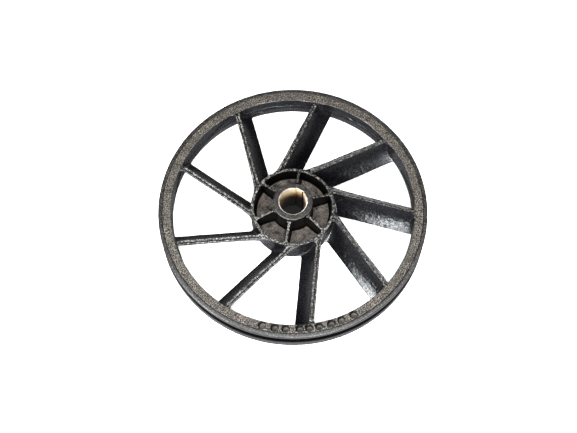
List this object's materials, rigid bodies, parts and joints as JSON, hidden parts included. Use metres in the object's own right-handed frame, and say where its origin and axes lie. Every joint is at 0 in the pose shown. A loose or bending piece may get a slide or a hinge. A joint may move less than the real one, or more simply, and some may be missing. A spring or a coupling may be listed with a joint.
{
  "type": "fan-bladed belt flywheel",
  "caption": "Cast-iron V-belt flywheel with slanted fan blades for spokes, a ribbed hub and a keyed bore, in black paint.",
  "frame": {"origin": "on the shaft axis, in the plane of the rim's and boss's back faces", "axes": "+Z along the shaft axis towards the front, the longer end of the boss; the keyway lies at 60 degrees from +X"},
  "size_m": [0.25, 0.25, 0.04],
  "materials": {
    "rim_iron": "rough as-cast iron under thin black paint, with turned flange bands",
    "blade_paint": "gloss black paint over a sandy cast skin",
    "hub_iron": "as-cast iron, black and brown-grey, sandy",
    "boss_iron": "machined grey face and oiled straw-coloured bore"
  },
  "bodies": {
    "root": {"rim_front_flange": "rim_iron", "rim_hoop": "rim_iron", "rim_back_flange": "rim_iron", "fan_blade_1": "blade_paint", "fan_blade_2": "blade_paint", "fan_blade_3": "blade_paint", "fan_blade_4": "blade_paint", "fan_blade_5": "blade_paint", "fan_blade_6": "blade_paint", "fan_blade_7": "blade_paint", "fan_blade_8": "blade_paint", "fan_blade_9": "blade_paint", "hub_drum": "hub_iron", "hub_web": "hub_iron", "hub_rib_1": "hub_iron", "hub_rib_2": "hub_iron", "hub_rib_3": "hub_iron", "hub_rib_4": "hub_iron", "hub_rib_5": "hub_iron", "hub_rib_6": "hub_iron", "hub_boss": "boss_iron"}
  },
  "joints": []
}
